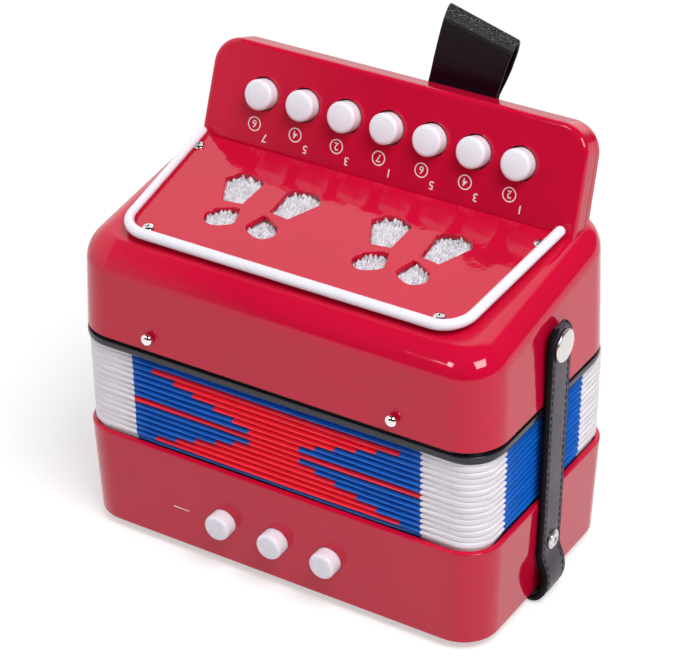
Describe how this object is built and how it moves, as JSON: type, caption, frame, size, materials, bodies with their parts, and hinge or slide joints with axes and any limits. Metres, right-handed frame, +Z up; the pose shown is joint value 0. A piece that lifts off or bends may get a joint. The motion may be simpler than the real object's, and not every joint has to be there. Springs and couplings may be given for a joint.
{
  "type": "button accordion",
  "caption": "Small toy button accordion: moulded bass and treble casings joined by a pleated bellows, with a tilted keyboard of round buttons, a vented grille and snap straps.",
  "frame": {"origin": "on the floor under the feet, at the middle of the whole object's box", "axes": "+Z up from the bass end to the keyboard, -Y towards the side that carries the bass buttons and that the keyboard faces, +X to the right as seen from there"},
  "size_m": [0.1842, 0.1074, 0.1934],
  "materials": {
    "red_plastic": "glossy moulded red plastic",
    "white_plastic": "satin white plastic",
    "black_plastic": "semi-matt black plastic",
    "leatherette": "grained black leatherette",
    "bellows_cloth": "satin coated cloth tape on card",
    "grille_mesh": "white woven mesh",
    "nickel": "bright nickel plate",
    "steel": "plain steel",
    "reed_brass": "plain brass",
    "pale_plastic": "natural moulded plastic"
  },
  "bodies": {
    "root": {"bass_casing": "red_plastic", "bass_bellows_frame": "black_plastic", "bass_reed_pan": "pale_plastic", "bass_reed_plate": "reed_brass", "bass_axle": "steel", "hand_strap": "leatherette", "strap_screw_right": "nickel", "strap_screw_left": "nickel"},
    "treble_body": {"treble_casing": "red_plastic", "keyboard_back_cover": "red_plastic", "grille_plate": "red_plastic", "grille_trim": "white_plastic", "grille_cloth": "grille_mesh", "grille_screw_1": "nickel", "grille_screw_2": "nickel", "grille_screw_3": "nickel", "grille_screw_4": "nickel", "treble_bellows_frame": "black_plastic", "bellows_pin_1": "nickel", "bellows_pin_2": "nickel", "bellows_pin_3": "nickel", "bellows_pin_4": "nickel", "treble_reed_pan": "pale_plastic", "treble_reed_plate": "reed_brass", "treble_pivot_rail": "pale_plastic", "treble_axle": "steel", "thumb_strap": "leatherette", "thumb_strap_screw_1": "nickel", "thumb_strap_screw_2": "nickel", "cover_screw_1": "nickel", "cover_screw_2": "nickel", "snap_stud_right": "nickel", "snap_stud_left": "nickel"},
    "treble_key_1": {"treble_button_1": "white_plastic", "treble_lever_1": "pale_plastic"},
    "treble_key_2": {"treble_button_2": "white_plastic", "treble_lever_2": "pale_plastic"},
    "treble_key_3": {"treble_button_3": "white_plastic", "treble_lever_3": "pale_plastic"},
    "treble_key_4": {"treble_button_4": "white_plastic", "treble_lever_4": "pale_plastic"},
    "treble_key_5": {"treble_button_5": "white_plastic", "treble_lever_5": "pale_plastic"},
    "treble_key_6": {"treble_button_6": "white_plastic", "treble_lever_6": "pale_plastic"},
    "treble_key_7": {"treble_button_7": "white_plastic", "treble_lever_7": "pale_plastic"},
    "air_button": {"air_button": "white_plastic"},
    "bass_button_1": {"bass_button_1": "white_plastic"},
    "bass_button_2": {"bass_button_2": "white_plastic"},
    "air_lever": {"air_lever": "pale_plastic"},
    "bass_lever_1": {"bass_lever_1": "pale_plastic"},
    "bass_lever_2": {"bass_lever_2": "pale_plastic"},
    "bellows_fold_1": {"bellows_fold_1": "bellows_cloth"},
    "bellows_fold_2": {"bellows_fold_2": "bellows_cloth"},
    "bellows_fold_3": {"bellows_fold_3": "bellows_cloth"},
    "closing_strap_right": {"closing_strap_right": "leatherette", "snap_cap_right": "nickel"},
    "closing_strap_left": {"closing_strap_left": "leatherette", "snap_cap_left": "nickel"}
  },
  "joints": [
    {"name": "bellows_draw", "type": "slide", "parent": "root", "child": "treble_body", "axis": [0, 0, 1], "range_m": [0, 0.12]},
    {"name": "fold_1_spread", "type": "slide", "parent": "root", "child": "bellows_fold_1", "axis": [0, 0, 1], "range_m": [0, 0.0201]},
    {"name": "fold_2_spread", "type": "slide", "parent": "root", "child": "bellows_fold_2", "axis": [0, 0, 1], "range_m": [0, 0.0601]},
    {"name": "fold_3_spread", "type": "slide", "parent": "root", "child": "bellows_fold_3", "axis": [0, 0, 1], "range_m": [0, 0.1001]},
    {"name": "treble_key_1_press", "type": "hinge", "parent": "treble_body", "child": "treble_key_1", "pos_m": [-0.05305, 0.02657, 0.11753], "axis": [-1, 0, 0], "range_deg": [0, 4.6], "stiffness_Nm_per_rad": 0.1, "springref_deg": -5.73},
    {"name": "treble_key_2_press", "type": "hinge", "parent": "treble_body", "child": "treble_key_2", "pos_m": [-0.0355, 0.02657, 0.11753], "axis": [-1, 0, 0], "range_deg": [0, 4.6], "stiffness_Nm_per_rad": 0.1, "springref_deg": -5.73},
    {"name": "treble_key_3_press", "type": "hinge", "parent": "treble_body", "child": "treble_key_3", "pos_m": [-0.01795, 0.02657, 0.11753], "axis": [-1, 0, 0], "range_deg": [0, 4.6], "stiffness_Nm_per_rad": 0.1, "springref_deg": -5.73},
    {"name": "treble_key_4_press", "type": "hinge", "parent": "treble_body", "child": "treble_key_4", "pos_m": [-0.0004, 0.02657, 0.11753], "axis": [-1, 0, 0], "range_deg": [0, 4.6], "stiffness_Nm_per_rad": 0.1, "springref_deg": -5.73},
    {"name": "treble_key_5_press", "type": "hinge", "parent": "treble_body", "child": "treble_key_5", "pos_m": [0.01715, 0.02657, 0.11753], "axis": [-1, 0, 0], "range_deg": [0, 4.6], "stiffness_Nm_per_rad": 0.1, "springref_deg": -5.73},
    {"name": "treble_key_6_press", "type": "hinge", "parent": "treble_body", "child": "treble_key_6", "pos_m": [0.0347, 0.02657, 0.11753], "axis": [-1, 0, 0], "range_deg": [0, 4.6], "stiffness_Nm_per_rad": 0.1, "springref_deg": -5.73},
    {"name": "treble_key_7_press", "type": "hinge", "parent": "treble_body", "child": "treble_key_7", "pos_m": [0.05225, 0.02657, 0.11753], "axis": [-1, 0, 0], "range_deg": [0, 4.6], "stiffness_Nm_per_rad": 0.1, "springref_deg": -5.73},
    {"name": "air_button_press", "type": "slide", "parent": "root", "child": "air_button", "axis": [0, 1, 0], "range_m": [0, 0.002], "stiffness_N_per_m": 250, "springref_m": -0.001},
    {"name": "air_lever_tilt", "type": "hinge", "parent": "root", "child": "air_lever", "pos_m": [-0.0214, -0.03657, 0.0108], "axis": [-1, 0, 0], "range_deg": [0, 12.2]},
    {"name": "bass_button_1_press", "type": "slide", "parent": "root", "child": "bass_button_1", "axis": [0, 1, 0], "range_m": [0, 0.002], "stiffness_N_per_m": 250, "springref_m": -0.001},
    {"name": "bass_lever_1_tilt", "type": "hinge", "parent": "root", "child": "bass_lever_1", "pos_m": [0.0008, -0.03657, 0.0108], "axis": [-1, 0, 0], "range_deg": [0, 12.2]},
    {"name": "bass_button_2_press", "type": "slide", "parent": "root", "child": "bass_button_2", "axis": [0, 1, 0], "range_m": [0, 0.002], "stiffness_N_per_m": 250, "springref_m": -0.001},
    {"name": "bass_lever_2_tilt", "type": "hinge", "parent": "root", "child": "bass_lever_2", "pos_m": [0.023, -0.03657, 0.0108], "axis": [-1, 0, 0], "range_deg": [0, 12.2]},
    {"name": "closing_strap_right_open", "type": "hinge", "parent": "root", "child": "closing_strap_right", "pos_m": [0.08613, -0.00114, 0.032], "axis": [0, 1, 0], "range_deg": [0, 100]},
    {"name": "closing_strap_left_open", "type": "hinge", "parent": "root", "child": "closing_strap_left", "pos_m": [-0.08613, -0.00114, 0.032], "axis": [0, -1, 0], "range_deg": [0, 100]}
  ],
  "couplings": [
    {"joint": "fold_1_spread", "follows": "bellows_draw", "ratio": 0.16667},
    {"joint": "fold_2_spread", "follows": "bellows_draw", "ratio": 0.5},
    {"joint": "fold_3_spread", "follows": "bellows_draw", "ratio": 0.83333},
    {"joint": "air_lever_tilt", "follows": "air_button_press", "rad_per_m": 105.26},
    {"joint": "bass_lever_1_tilt", "follows": "bass_button_1_press", "rad_per_m": 105.26},
    {"joint": "bass_lever_2_tilt", "follows": "bass_button_2_press", "rad_per_m": 105.26}
  ]
}
